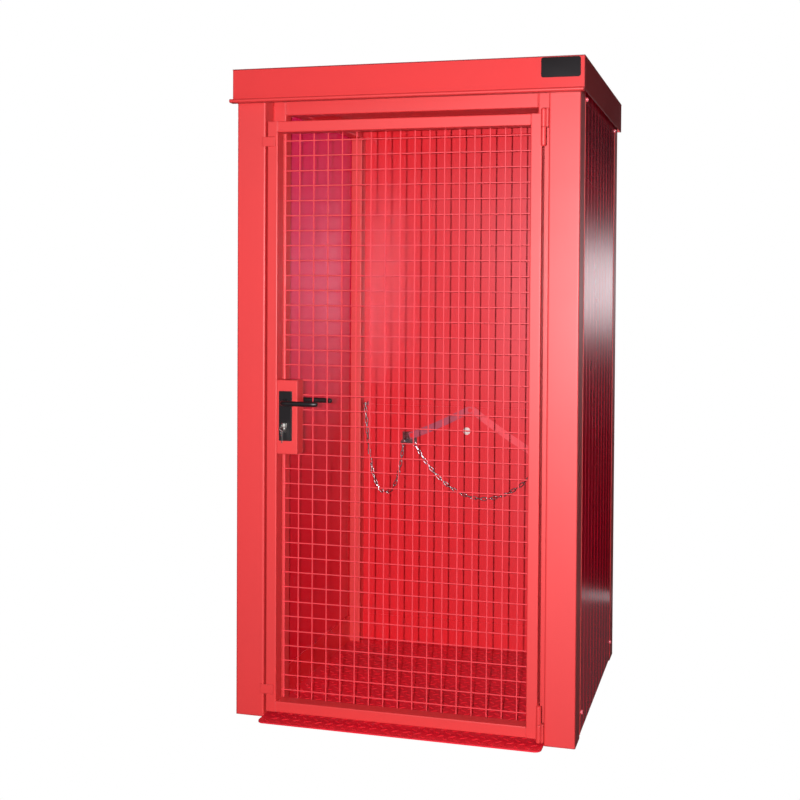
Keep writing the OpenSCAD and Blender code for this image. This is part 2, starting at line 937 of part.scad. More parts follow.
// A lever of round bar in the plane of its plate: neck, elbow, grip, and a tail that bends
// back to the plate and ends in a ball
module lever() {
    grip_z = lever_reach - lever_h / 2;
    grip_end = lever_len - lever_h / 2 - tail_r * sin(tail_turn);
    translate([0, 0, -plate_t])
        cylinder(r = neck_r, h = plate_t + neck_proud);
    cylinder(d = lever_h, h = grip_z - elbow_r);
    translate([elbow_r, 0, grip_z - elbow_r])
        bar_arc(elbow_r, 90, 90);
    translate([elbow_r, 0, grip_z])
        rotate([0, 90, 0])
            cylinder(d = lever_h, h = grip_end - elbow_r);
    translate([grip_end, 0, grip_z - tail_r]) {
        mirror([1, 0, 0])
            bar_arc(tail_r, 90, tail_turn);
        translate([tail_r * sin(tail_turn), 0, tail_r * cos(tail_turn)])
            sphere(d = lever_h - 2 * seat_gap);
    }
}

// The outer lever carries the spindle that runs through the lock case
module lever_outer() {
    color("black")
        translate([lever_x, case_front - plate_t, lever_z]) {
            rotate([90, 0, 0])
                lever();
            rotate([-90, 0, 0])
                cylinder(r = spindle_r, h = case_back - case_front + plate_t);
        }
}

module lever_inner() {
    color("black")
        translate([lever_x, case_back + plate_t, lever_z])
            rotate([-90, 0, 0])
                lever();
}

translate([0, shift_y, 0]) {
    corner_post(true, true);  // post_front_left
    corner_post(false, true);  // post_front_right
    corner_post(true, false);  // post_rear_left
    corner_post(false, false);  // post_rear_right
    upright_front();
    upright_rear();
    lintel();
    top_rail_rear();
    top_rail_sides();
    floor_plate();
    kick_plate_rear();
    kick_plate_sides();
    wall_left();
    wall_right();
    wall_rear();
    wall_cores();
    ceiling_sheet();
    roof_core();
    roof_cap();
    drip_lip();
    chain_rail();
    chain_bracket();
    chain_anchors();
    chain_left();
    chain_right();
    strap();
    strap_pegs();
    wall_boss();
    hinge_pins();
    stile_left();
    stile_right();
    door_rail_top();
    door_rail_bottom();
    mesh_upper();
    mesh_lower();
    lock_case();
    stop_tabs();
    hinge_sleeves();
    handle_plate_outer();
    handle_plate_inner();
    lock_cylinder();
    key();
    lever_outer();
    lever_inner();
}
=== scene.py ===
"""Looks, light and camera for the gas cylinder storage box.

This script gives it its finishes and adds what is too fine for the CAD: the tread pattern,
weld beads, paint beads, screws, the roof's sealant, the thin strap and the name plate.
Lengths are metres in the row's frame, apart from those whose names or descriptions say
millimetres.
"""

import json
import logging
import math
from abc import ABC, abstractmethod
from collections.abc import Sequence
from dataclasses import dataclass
from enum import Enum

import bmesh
import bpy
import numpy as np
from mathutils import Euler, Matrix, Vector


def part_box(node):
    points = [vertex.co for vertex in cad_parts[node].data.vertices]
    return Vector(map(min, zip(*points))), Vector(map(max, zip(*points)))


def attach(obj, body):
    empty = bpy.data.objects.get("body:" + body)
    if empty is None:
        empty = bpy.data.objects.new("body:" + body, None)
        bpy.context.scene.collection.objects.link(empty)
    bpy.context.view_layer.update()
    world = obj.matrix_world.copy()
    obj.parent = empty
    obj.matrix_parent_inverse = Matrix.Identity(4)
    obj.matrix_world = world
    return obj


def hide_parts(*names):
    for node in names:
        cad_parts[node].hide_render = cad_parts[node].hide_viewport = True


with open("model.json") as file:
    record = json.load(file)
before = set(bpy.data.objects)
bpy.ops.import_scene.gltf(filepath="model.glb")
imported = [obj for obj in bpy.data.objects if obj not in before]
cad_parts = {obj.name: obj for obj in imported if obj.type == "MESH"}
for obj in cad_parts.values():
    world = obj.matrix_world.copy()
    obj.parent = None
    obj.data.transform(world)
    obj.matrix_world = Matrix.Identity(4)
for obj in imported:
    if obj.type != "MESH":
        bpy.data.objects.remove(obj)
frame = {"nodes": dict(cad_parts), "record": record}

LOG = logging.getLogger("gas_box")
MM = 0.001
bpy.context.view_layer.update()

Colour = tuple[float, float, float]
Pair = tuple[float, float]
Shape = tuple[np.ndarray, list[tuple[int, ...]]]


class Axis(Enum):
    """The axes along which a colour or a light changes."""

    X = "X"
    Y = "Y"
    Z = "Z"


class Body(Enum):
    """The bodies that the added pieces ride on."""

    CABINET = "cabinet"
    DOOR = "door"


@dataclass(frozen=True)
class Box:
    """The corners of a CAD node at rest."""

    low: Vector
    high: Vector

    @classmethod
    def of(cls, *nodes: str) -> "Box":
        """Joins the boxes of the named nodes.

        Args:
            nodes: CAD node names.

        Returns:
            The box that holds all of them.
        """
        boxes = [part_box(name) for name in nodes]
        low = Vector([min(b[0][i] for b in boxes) for i in range(3)])
        high = Vector([max(b[1][i] for b in boxes) for i in range(3)])
        return cls(low, high)

    @property
    def middle(self) -> Vector:
        """The box's centre."""
        return (self.high + self.low) / 2


@dataclass(frozen=True)
class Finish:
    """What a surface looks like, as numbers for the shader.

    Attributes:
        name: The material's name.
        colour: The base colour, linear.
        roughness: The base layer's roughness.
        metallic: One for bare metal.
        coat: How much clear coat lies on top.
        coat_roughness: The clear coat's roughness.
        specular: The base layer's mirror strength, one half for plain paint.
        mirror_tint: The colour of what the base layer mirrors.
        grain_mm: The size of the fine bumps.
        grain_depth: How deep the fine bumps are.
        tone: How far broad patches differ in brightness and roughness.
        edge_mm: How round the edges look.
    """

    name: str
    colour: Colour
    roughness: float = 0.4
    metallic: float = 0.0
    coat: float = 0.0
    coat_roughness: float = 0.1
    specular: float = 0.5
    mirror_tint: Colour = (1.0, 1.0, 1.0)
    grain_mm: float = 4.0
    grain_depth: float = 0.02
    tone: float = 0.05
    edge_mm: float = 0.0


RED = (0.62, 0.031, 0.032)
# Painted sheen: the mauve that the left wall's inside turns to upwards, a painted reflection of the light.
PAINTED_MAUVE_SHEEN = (0.74, 0.006, 0.11)
# Painted sheen: the rosy that the strap turns to towards its right end, a painted highlight.
PAINTED_ROSY_SHEEN = (0.74, 0.075, 0.095)
# Painted shade: faces that the light only grazes get their colour times this share.
SHADED_SIDE = 0.5


class Finishes(Enum):
    """The finishes of the box.

    POST is BODY once more, with its outer face painted darker: a painted shade, as the light only grazes
    it.
    """

    BODY = Finish("body_paint", RED, roughness=0.48, coat=0.3, coat_roughness=0.33, edge_mm=7.0)
    DOOR = Finish("door_paint", RED, roughness=0.46, coat=0.3, coat_roughness=0.33, edge_mm=4.0)
    # PANEL, LEFT and REAR are copies of the box's one red with less green and blue than BODY's: painted
    # shade, the deeper red of the grazed side and the shaded inside.
    PANEL = Finish("panel_shaded_red", (0.60, 0.004, 0.026), roughness=0.22, grain_depth=0.0, tone=0.02)
    LEFT = Finish("left_shaded_red", (0.62, 0.004, 0.016), roughness=0.24, specular=0.7,
                  mirror_tint=(1.0, 0.42, 0.72), grain_depth=0.0, tone=0.02)
    REAR = Finish("rear_shaded_red", (0.64, 0.008, 0.014), roughness=0.3, specular=1.0,
                  mirror_tint=(1.0, 0.7, 0.78), grain_depth=0.0)
    # The mesh wires take a paler, pinker copy of the red: a painted highlight for the light they catch.
    WIRE = Finish("wire_lit_red", (0.74, 0.055, 0.07), roughness=0.35, coat=0.3, coat_roughness=0.2,
                  grain_depth=0.0)
    # The right posts' copy of BODY, which gets a painted shade on its outer face.
    POST = Finish("right_post_painted_shade", RED, roughness=0.48, coat=0.3, coat_roughness=0.33, edge_mm=7.0)
    # The screw heads take a pinker copy of the red: a painted highlight for the light they catch.
    SCREW = Finish("screw_painted_highlight", (0.8, 0.12, 0.16), roughness=0.25, coat=0.6, coat_roughness=0.15)
    ROOF = Finish("roof_paint", RED, roughness=0.28, specular=0.4, grain_depth=0.01, edge_mm=5.0)
    TREAD = Finish("tread_paint", (0.72, 0.006, 0.024), roughness=0.42, coat=0.15, grain_mm=7.0,
                   grain_depth=0.2, tone=0.25)
    TEAR = Finish("tear_paint", (0.74, 0.012, 0.026), roughness=0.27, coat=0.5, coat_roughness=0.2)
    SEAM = Finish("seam_sealant", (0.2, 0.004, 0.008), roughness=0.5)
    CORE = Finish("panel_core", (0.47, 0.39, 0.2), roughness=0.95, grain_depth=0.3)
    # The wall boss is painted near white: a painted highlight for the glint on its dome.
    CAP = Finish("boss_painted_glint", (0.78, 0.74, 0.7), roughness=0.35, coat=0.4)
    ZINC = Finish("zinc", (0.43, 0.40, 0.42), roughness=0.15, metallic=1.0, grain_mm=2.0, tone=0.2)
    WEBBING = Finish("webbing", (0.37, 0.06, 0.10), roughness=0.75, grain_mm=1.0, grain_depth=0.2)
    BLACK = Finish("handle_black", (0.010, 0.008, 0.009), roughness=0.34, specular=0.35, edge_mm=2.0)
    PLATE = Finish("name_plate", (0.012, 0.010, 0.011), roughness=0.6, specular=0.12, grain_depth=0.01)
    NICKEL = Finish("nickel", (0.72, 0.71, 0.68), roughness=0.16, metallic=1.0, grain_depth=0.005)


class NodeTree:
    """A thin helper that adds nodes and links to a shader tree."""

    def __init__(self, tree: bpy.types.NodeTree) -> None:
        """Takes the tree to work on."""
        self.tree = tree

    def add(self, kind: str, **values: object) -> bpy.types.Node:
        """Adds a node and sets its properties and input values.

        Args:
            kind: The node's bl_idname.
            values: Property names, or input names with spaces as underscores.

        Returns:
            The new node.
        """
        node = self.tree.nodes.new(kind)
        for key, value in values.items():
            if hasattr(node, key):
                setattr(node, key, value)
            else:
                node.inputs[key.replace("_", " ")].default_value = value
        return node

    def link(self, source: bpy.types.NodeSocket, target: bpy.types.NodeSocket) -> None:
        """Links an output to an input."""
        self.tree.links.new(source, target)

    def coordinates(self, kind: str) -> bpy.types.bpy_prop_collection:
        """Splits a texture coordinate.

        Args:
            kind: The coordinate's name on the Texture Coordinate node.

        Returns:
            The outputs X, Y and Z.
        """
        place = self.add("ShaderNodeTexCoord")
        split = self.add("ShaderNodeSeparateXYZ")
        self.link(place.outputs[kind], split.inputs[0])
        return split.outputs

    def ramp(self, value: bpy.types.NodeSocket, span: Pair, stops: Sequence[Pair],
             tint: Colour) -> bpy.types.NodeSocket:
        """Turns a value into a brightness of one tint along a row of stops.

        Args:
            value: What is looked up.
            span: The values at the ramp's start and end.
            stops: Pairs of value and brightness, in rising order.
            tint: The colour at brightness one.

        Returns:
            The ramp's colour output.
        """
        low, high = span
        place = self.add("ShaderNodeMapRange", From_Min=low, From_Max=high)
        self.link(value, place.inputs["Value"])
        node = self.add("ShaderNodeValToRGB")
        self.link(place.outputs["Result"], node.inputs["Fac"])
        elements = node.color_ramp.elements
        while len(elements) < len(stops):
            elements.new(0.5)
        for element, (at, bright) in zip(elements, stops):
            element.position = (at - low) / (high - low)
            element.color = (*(bright * c for c in tint), 1.0)
        return node.outputs["Color"]

    def mix(self, factor: bpy.types.NodeSocket, off: bpy.types.Node, on: bpy.types.Node) -> bpy.types.Node:
        """Shows one of two shaders.

        Args:
            factor: What chooses between them.
            off: The shader where the factor is 0.
            on: The shader where the factor is 1.

        Returns:
            The mix shader.
        """
        mix = self.add("ShaderNodeMixShader")
        self.link(factor, mix.inputs[0])
        self.link(off.outputs[0], mix.inputs[1])
        self.link(on.outputs[0], mix.inputs[2])
        return mix

    def total(self, *shaders: bpy.types.Node) -> bpy.types.Node:
        """Adds shaders up.

        Args:
            shaders: The shader nodes.

        Returns:
            The last add shader.
        """
        total = shaders[0]
        for shader in shaders[1:]:
            both = self.add("ShaderNodeAddShader")
            self.link(total.outputs[0], both.inputs[0])
            self.link(shader.outputs[0], both.inputs[1])
            total = both
        return total

    def by_ray(self, plain: bpy.types.Node, mirrored: bpy.types.Node,
               seen: bpy.types.Node) -> bpy.types.Node:
        """Shows each kind of ray its own shader.

        Args:
            plain: The shader for all other rays.
            mirrored: The shader for glossy rays.
            seen: The shader for the camera's rays.

        Returns:
            The mix shader.
        """
        rays = self.add("ShaderNodeLightPath")
        lit = self.mix(rays.outputs["Is Glossy Ray"], plain, mirrored)
        return self.mix(rays.outputs["Is Camera Ray"], lit, seen)


BEVEL_SAMPLES = 6
BUMP_HEIGHT = 0.0006
PATCHES_PER_METRE = 3.0
PATCH_SPAN = (0.3, 0.7)


def paint_group() -> bpy.types.NodeTree:
    """Makes the group that gives a paint's tone and bump.

    A broad noise, stretched over PATCH_SPAN, gives a shade from 0 to 1. The colour is
    scaled by 1 - shade * Tone, and shade * Tone is added to the roughness. The normal is
    rounded at edges, then bumped by a fine noise.

    Returns:
        The group, with Colour, Roughness, Grain, Depth, Tone and Edge as inputs, and Colour,
        Roughness and Normal as outputs.
    """
    group = bpy.data.node_groups.new("paint_surface", "ShaderNodeTree")
    sockets = (
        ("INPUT", "Colour", "NodeSocketColor"), ("INPUT", "Roughness", "NodeSocketFloat"),
        ("INPUT", "Grain", "NodeSocketFloat"), ("INPUT", "Depth", "NodeSocketFloat"),
        ("INPUT", "Tone", "NodeSocketFloat"), ("INPUT", "Edge", "NodeSocketFloat"),
        ("OUTPUT", "Colour", "NodeSocketColor"), ("OUTPUT", "Roughness", "NodeSocketFloat"),
        ("OUTPUT", "Normal", "NodeSocketVector"),
    )
    for way, name, kind in sockets:
        group.interface.new_socket(name=name, in_out=way, socket_type=kind)
    t = NodeTree(group)
    gin = t.add("NodeGroupInput")
    gout = t.add("NodeGroupOutput")
    place = t.add("ShaderNodeTexCoord")
    fine = t.add("ShaderNodeTexNoise", Detail=3.0)
    t.link(place.outputs["Object"], fine.inputs["Vector"])
    t.link(gin.outputs["Grain"], fine.inputs["Scale"])
    broad = t.add("ShaderNodeTexNoise", Scale=PATCHES_PER_METRE, Detail=4.0)
    t.link(place.outputs["Object"], broad.inputs["Vector"])
    shade = t.add("ShaderNodeMapRange", From_Min=PATCH_SPAN[0], From_Max=PATCH_SPAN[1])
    t.link(broad.outputs["Fac"], shade.inputs["Value"])
    darker = t.add("ShaderNodeMath", operation="MULTIPLY")
    t.link(shade.outputs["Result"], darker.inputs[0])
    t.link(gin.outputs["Tone"], darker.inputs[1])
    keep = t.add("ShaderNodeMath", operation="SUBTRACT")
    keep.inputs[0].default_value = 1.0
    t.link(darker.outputs[0], keep.inputs[1])
    scaled = t.add("ShaderNodeVectorMath", operation="SCALE")
    t.link(gin.outputs["Colour"], scaled.inputs[0])
    t.link(keep.outputs[0], scaled.inputs["Scale"])
    t.link(scaled.outputs[0], gout.inputs["Colour"])
    rough = t.add("ShaderNodeMath", operation="MULTIPLY_ADD")
    t.link(shade.outputs["Result"], rough.inputs[0])
    t.link(gin.outputs["Tone"], rough.inputs[1])
    t.link(gin.outputs["Roughness"], rough.inputs[2])
    t.link(rough.outputs[0], gout.inputs["Roughness"])
    edge = t.add("ShaderNodeBevel", samples=BEVEL_SAMPLES)
    t.link(gin.outputs["Edge"], edge.inputs["Radius"])
    bump_grain = t.add("ShaderNodeBump", Distance=BUMP_HEIGHT)
    t.link(edge.outputs["Normal"], bump_grain.inputs["Normal"])
    t.link(fine.outputs["Fac"], bump_grain.inputs["Height"])
    t.link(gin.outputs["Depth"], bump_grain.inputs["Strength"])
    t.link(bump_grain.outputs["Normal"], gout.inputs["Normal"])
    return group


class Paintbox:
    """Makes each material once and hands it out."""

    def __init__(self) -> None:
        """Makes the group that the materials share."""
        self.group = paint_group()
        self.made: dict[str, bpy.types.Material] = {}

    def get(self, finish: Finish) -> bpy.types.Material:
        """Makes or finds the material for a finish.

        Args:
            finish: The finish's numbers.

        Returns:
            The material.
        """
        if finish.name in self.made:
            return self.made[finish.name]
        material = bpy.data.materials.new(finish.name)
        material.use_nodes = True
        t = NodeTree(material.node_tree)
        material.node_tree.nodes.clear()
        out = t.add("ShaderNodeOutputMaterial")
        shader = t.add("ShaderNodeBsdfPrincipled", Metallic=finish.metallic)
        shader.inputs["Coat Weight"].default_value = finish.coat
        shader.inputs["Coat Roughness"].default_value = finish.coat_roughness
        shader.inputs["Specular IOR Level"].default_value = finish.specular
        shader.inputs["Specular Tint"].default_value = (*finish.mirror_tint, 1.0)
        surface = t.add("ShaderNodeGroup")
        surface.node_tree = self.group
        surface.inputs["Colour"].default_value = (*finish.colour, 1.0)
        surface.inputs["Roughness"].default_value = finish.roughness
        surface.inputs["Grain"].default_value = 1.0 / (finish.grain_mm * MM)
        surface.inputs["Depth"].default_value = finish.grain_depth
        surface.inputs["Tone"].default_value = finish.tone
        surface.inputs["Edge"].default_value = finish.edge_mm * MM
        t.link(surface.outputs["Colour"], shader.inputs["Base Color"])
        t.link(surface.outputs["Roughness"], shader.inputs["Roughness"])
        t.link(surface.outputs["Normal"], shader.inputs["Normal"])
        t.link(shader.outputs[0], out.inputs["Surface"])
        self.made[finish.name] = material
        return material

    def fade(self, finish: Finish, axis: Axis, span: Pair, end: Sequence[float],
             right_of: float = -1.0) -> None:
        """Lets a paint's colour change evenly along one axis of the row's frame.

        Args:
            finish: The paint, whose own colour is the first one.
            axis: The axis along which it changes.
            span: Where the change starts and ends, in metres.
            end: The colour at the end.
            right_of: The change is seen only beyond this X.
        """
        t = NodeTree(self.get(finish).node_tree)
        surface = next(n for n in t.tree.nodes if n.bl_idname == "ShaderNodeGroup")
        split = t.coordinates("Object")
        way = t.add("ShaderNodeMapRange", From_Min=span[0], From_Max=span[1])
        t.link(split[axis.value], way.inputs["Value"])
        gate = t.add("ShaderNodeMath", operation="GREATER_THAN")
        t.link(split["X"], gate.inputs[0])
        gate.inputs[1].default_value = right_of
        share = t.add("ShaderNodeMath", operation="MULTIPLY")
        t.link(way.outputs["Result"], share.inputs[0])
        t.link(gate.outputs[0], share.inputs[1])
        mix = t.add("ShaderNodeMix", data_type="RGBA")
        t.link(share.outputs[0], mix.inputs["Factor"])
        for socket in mix.inputs:
            if socket.type == "RGBA":
                socket.default_value = (*(end if socket.name == "B" else finish.colour), 1.0)
        t.link(next(o for o in mix.outputs if o.type == "RGBA"), surface.inputs["Colour"])


SLOT_FINISH: dict[str, Finishes] = {
    "body_paint": Finishes.BODY,
    "door_paint": Finishes.DOOR,
    "panel_core": Finishes.CORE,
    "zinc": Finishes.ZINC,
    "webbing": Finishes.WEBBING,
    "handle_black": Finishes.BLACK,
    "nickel": Finishes.NICKEL,
}
NODE_FINISH: dict[str, Finishes] = {
    "wall_left": Finishes.LEFT,
    "wall_right": Finishes.PANEL,
    "wall_rear": Finishes.REAR,
    # The wall boss takes the near-white painted highlight.
    "wall_boss": Finishes.CAP,
    "roof_cap": Finishes.ROOF,
    "mesh_upper": Finishes.WIRE,
    "mesh_lower": Finishes.WIRE,
    "post_front_right": Finishes.POST,
    "post_rear_right": Finishes.POST,
    # The inner rails, kick plates, chain rail and strap pegs take the rear's shaded copy of the red:
    # painted shade.
    "top_rail_rear": Finishes.REAR,
    "top_rail_sides": Finishes.REAR,
    "kick_plate_rear": Finishes.REAR,
    "kick_plate_sides": Finishes.REAR,
    "chain_rail": Finishes.REAR,
    "strap_pegs": Finishes.REAR,
    "floor_plate": Finishes.TREAD,
}


@dataclass(frozen=True)
class FramePaint:
    """The paint of the CAD nodes.

    The left wall's inside turns mauve upwards: a painted sheen, a painted reflection of the light.
    The right faces of the roof and the posts and the top of the right wall are painted darker: a
    painted shade, as the light only grazes them.

    Attributes:
        left_inside: The X right of which the left wall gets its painted mauve sheen.
        mauve_z: Where the painted mauve sheen starts and is full.
        dark_z: Where the painted shade on the right wall's top starts and is full.
        dark_inset: How far in from a right face its painted shade starts and is full.
    """

    left_inside: float = -0.52
    mauve_z: Pair = (0.9, 1.5)
    dark_z: Pair = (1.78, 1.93)
    dark_inset: Pair = (3 * MM, MM)

    def dress(self, paints: Paintbox) -> None:
        """Gives every CAD node its material, and lets some colours change over a piece.

        Args:
            paints: The maker of materials.
        """
        slots = {part["node"]: part["material_slot"] for part in frame["record"]["subparts"]}
        for name, obj in frame["nodes"].items():
            finish = NODE_FINISH.get(name, SLOT_FINISH[slots[name]])
            obj.data.materials.clear()
            obj.data.materials.append(paints.get(finish.value))
            LOG.info("%s: %s", name, finish.value.name)
        # Painted sheen: the left wall's inside turns mauve upwards.
        paints.fade(Finishes.LEFT.value, Axis.Z, self.mauve_z, PAINTED_MAUVE_SHEEN, right_of=self.left_inside)
        # Painted shade: the right faces of the roof and the posts darken at their edge.
        for finish, node in ((Finishes.ROOF, "roof_cap"), (Finishes.POST, "post_front_right")):
            face = Box.of(node).high.x
            span = (face - self.dark_inset[0], face - self.dark_inset[1])
            paints.fade(finish.value, Axis.X, span, self.shaded(finish.value))
        # Painted shade: the right wall darkens towards its top.
        panel = Finishes.PANEL.value
        paints.fade(panel, Axis.Z, self.dark_z, self.shaded(panel))

    @staticmethod
    def shaded(finish: Finish) -> tuple[float, ...]:
        """The colour of a face that the light only grazes."""
        # The painted shade: the colour times SHADED_SIDE.
        return tuple(SHADED_SIDE * c for c in finish.colour)


@dataclass(frozen=True)
class Camera:
    """The camera, where the photograph was taken from.

    Attributes:
        at: Its place.
        turn_deg: Its turn about X, Y and Z.
        focal_px: The focal length in pixels.
        centre_px: Where the picture's principal point lies.
        image_px: The picture's width and height.
        sensor_mm: The sensor's width.
    """

    at: tuple[float, float, float] = (1.0975, -4.1311, 1.4467)
    turn_deg: tuple[float, float, float] = (88.793, -0.386, 14.620)
    focal_px: float = 1180.35
    centre_px: Pair = (445.4, 311.0)
    image_px: int = 800
    sensor_mm: float = 36.0

    def place(self) -> bpy.types.Object:
        """Makes the camera and sets the picture's size.

        The principal point is off the picture's centre, so the lens is shifted by the same share.

        Returns:
            The camera object.
        """
        data = bpy.data.cameras.new("camera")
        data.sensor_width = self.sensor_mm
        data.lens = self.focal_px / self.image_px * self.sensor_mm
        data.shift_x = (self.image_px / 2 - self.centre_px[0]) / self.image_px
        data.shift_y = (self.centre_px[1] - self.image_px / 2) / self.image_px
        camera = bpy.data.objects.new("camera", data)
        camera.location = self.at
        camera.rotation_euler = Euler([math.radians(a) for a in self.turn_deg])
        scene = bpy.context.scene
        scene.collection.objects.link(camera)
        scene.camera = camera
        scene.render.resolution_x = scene.render.resolution_y = self.image_px
        return camera


@dataclass(frozen=True)
class Background:
    """One part of the surroundings, whose strength follows the direction of view.

    Attributes:
        tint: Its colour.
        axis: The direction's axis that decides.
        span: Where the strength starts and ends its change along that axis.
        strengths: The strength before and after the change.
    """

    tint: Colour
    axis: Axis
    span: Pair
    strengths: Pair

    def shader(self, t: NodeTree, direction: bpy.types.bpy_prop_collection) -> bpy.types.Node:
        """Adds the background to the world.

        Args:
            t: The world's tree.
            direction: The direction's X, Y and Z outputs.

        Returns:
            The background shader.
        """
        way = t.add("ShaderNodeMapRange", From_Min=self.span[0], From_Max=self.span[1],
                    To_Min=self.strengths[0], To_Max=self.strengths[1])
        t.link(direction[self.axis.value], way.inputs["Value"])
        shader = t.add("ShaderNodeBackground", Color=(*self.tint, 1))
        t.link(way.outputs["Result"], shader.inputs["Strength"])
        return shader


@dataclass(frozen=True)
class Surroundings:
    """White behind the box for the camera, a hall for mirrored rays and a dim room for the rest.

    Attributes:
        hall: The hall behind the box.
        hall_rows: How bright the hall is at a given height of view, the direction's Z: a pale
            row of daylight at eye level between dark walls.
        hall_span: The heights of view between which the rows lie.
        window: The window on the right.
        front: What lies on the camera's side.
        room_tint: The colour of the light that all other rays meet.
        room_strength: The strength of that light.
    """

    hall: Background = Background((1.0, 0.93, 0.97), Axis.Y, (0.1, 0.6), (0.0, 1.75))
    hall_rows: tuple[Pair, ...] = (
        (-0.19, 0.0), (-0.065, 0.0), (-0.045, 0.08), (-0.028, 0.6), (-0.01, 0.95), (0.005, 1.0),
        (0.025, 0.75), (0.042, 0.2), (0.06, 0.0), (0.19, 0.0))
    hall_span: Pair = (-0.2, 0.2)
    window: Background = Background((1.0, 0.96, 1.0), Axis.X, (0.6, 0.9), (0.0, 1.5))
    front: Background = Background((0.75, 0.7, 1.0), Axis.Y, (-0.1, -0.5), (0.01, 0.02))
    room_tint: Colour = (1.0, 0.97, 1.0)
    room_strength: float = 0.05

    def make(self) -> bpy.types.World:
        """Makes the world.

        Returns:
            The world.
        """
        world = bpy.data.worlds.new("studio")
        bpy.context.scene.world = world
        world.use_nodes = True
        t = NodeTree(world.node_tree)
        world.node_tree.nodes.clear()
        out = t.add("ShaderNodeOutputWorld")
        direction = t.coordinates("Generated")
        hall = self.hall.shader(t, direction)
        rows = t.ramp(direction["Z"], self.hall_span, self.hall_rows, self.hall.tint)
        t.link(rows, hall.inputs["Color"])
        window, front = self.window.shader(t, direction), self.front.shader(t, direction)
        room = t.add("ShaderNodeBackground", Color=(*self.room_tint, 1), Strength=self.room_strength)
        seen = t.add("ShaderNodeBackground", Color=(1, 1, 1, 1), Strength=1.0)
        shown = t.by_ray(room, t.total(hall, window, front), seen)
        t.link(shown.outputs[0], out.inputs["Surface"])
        return world


@dataclass(frozen=True)
class Floor:
    """A floor that the camera sees as plain white and mirrored rays as concrete.

    Attributes:
        rows: How bright it is at a given depth Y for mirrored rays: concrete beside the box, a
            pale kerb behind it, and dark beyond.
        span: The depths between which the rows lie.
        tint: The colour of what is mirrored.
        grey: The colour that all other rays meet.
        half: Half the floor's width and depth.
        drop: How far it lies below the box, so that no two faces share a plane.
    """

    rows: tuple[Pair, ...] = ((0.0, 0.06), (1.29, 0.07), (1.31, 0.5), (1.45, 0.5), (1.48, 0.0), (2.9, 0.0))
    span: Pair = (0.0, 3.0)
    tint: Colour = (1.0, 0.95, 1.0)
    grey: Colour = (0.3, 0.3, 0.3)
    half: float = 8.0
    drop: float = MM

    def material(self) -> bpy.types.Material:
        """Makes the floor's material.

        Returns:
            The material.
        """
        material = bpy.data.materials.new("floor_white")
        material.use_nodes = True
        t = NodeTree(material.node_tree)
        material.node_tree.nodes.clear()
        out = t.add("ShaderNodeOutputMaterial")
        seen = t.add("ShaderNodeEmission", Color=(1, 1, 1, 1), Strength=1.0)
        real = t.add("ShaderNodeBsdfDiffuse", Color=(*self.grey, 1))
        mirrored = t.add("ShaderNodeEmission")
        depth = t.coordinates("Object")["Y"]
        t.link(t.ramp(depth, self.span, self.rows, self.tint), mirrored.inputs["Color"])
        t.link(t.by_ray(real, mirrored, seen).outputs[0], out.inputs["Surface"])
        return material

    def place(self) -> bpy.types.Object:
        """Makes the floor.

        Returns:
            The floor object, which is stage and no piece.
        """
        mesh = bpy.data.meshes.new("floor")
        corners = [(x * self.half, y * self.half, -self.drop)
                   for x, y in ((-1, -1), (1, -1), (1, 1), (-1, 1))]
        mesh.from_pydata(corners, [], [(0, 1, 2, 3)])
        floor = bpy.data.objects.new("floor", mesh)
        floor.data.materials.append(self.material())
        bpy.context.scene.collection.objects.link(floor)
        return floor


@dataclass(frozen=True)
class Lamp:
    """One light.

    Attributes:
        name: The lamp's name.
        at: Its place.
        aim: The point that it looks at.
        size: Its width and height.
        watts: Its power.
        colour: The colour of its light.
    """

    name: str
    at: tuple[float, float, float]
    aim: tuple[float, float, float]
    size: Pair
    watts: float
    colour: Colour = (1.0, 1.0, 1.0)

    def place(self) -> bpy.types.Object:
        """Makes the lamp.

        Returns:
            The light object.
        """
        data = bpy.data.lights.new(self.name, "AREA")
        data.shape = "RECTANGLE"
        data.size, data.size_y = self.size
        data.energy = self.watts
        data.color = self.colour
        lamp = bpy.data.objects.new(self.name, data)
        lamp.location = self.at
        lamp.rotation_euler = (Vector(self.aim) - Vector(self.at)).to_track_quat("-Z", "Y").to_euler()
        bpy.context.scene.collection.objects.link(lamp)
        return lamp


# The flash throws the mesh's shadows on the rear wall. The soft lamps fill in from the front
# left, and light the rear and the left side for views from there.
LAMPS = (
    Lamp("flash", (0.985, -4.15, 1.455), (0.0, 0.0, 1.0), (0.014, 0.008), 222, (1.0, 0.98, 1.0)),
    Lamp("front_soft", (-1.6, -4.6, 2.6), (0.0, 0.0, 1.0), (2.6, 2.2), 12),
    Lamp("rear_soft", (-2.6, 4.0, 3.0), (0.0, 0.0, 1.1), (2.6, 2.2), 130),
)


def loft(rings: np.ndarray, closed: bool = False) -> Shape:
    """Joins rings of points into one closed skin.

    Each face runs from point j of ring i to the next point and the next ring.

    Args:
        rings: An array of ring, point, and XYZ.
        closed: Whether the last ring joins the first. Otherwise both ends are capped.

    Returns:
        The vertices and faces.
    """
    count, around = rings.shape[:2]
    i, j = np.mgrid[:count if closed else count - 1, :around]
    here, there, after = i * around, (i + 1) % count * around, (j + 1) % around
    sides = np.stack([here + j, here + after, there + after, there + j], 2).reshape(-1, 4)
    faces = [tuple(side) for side in sides.tolist()]
    if not closed:
        faces.append(tuple(range(around - 1, -1, -1)))
        faces.append(tuple(range((count - 1) * around, count * around)))
    return rings.reshape(-1, 3), faces


def join(shapes: Sequence[Shape]) -> Shape:
    """Puts several shapes into one.

    Args:
        shapes: Vertices and faces of each.

    Returns:
        The vertices and faces of all.
    """
    verts, faces, start = [], [], 0
    for points, sides in shapes:
        verts.append(points)
        faces.extend(tuple(start + k for k in side) for side in sides)
        start += len(points)
    return np.concatenate(verts), faces


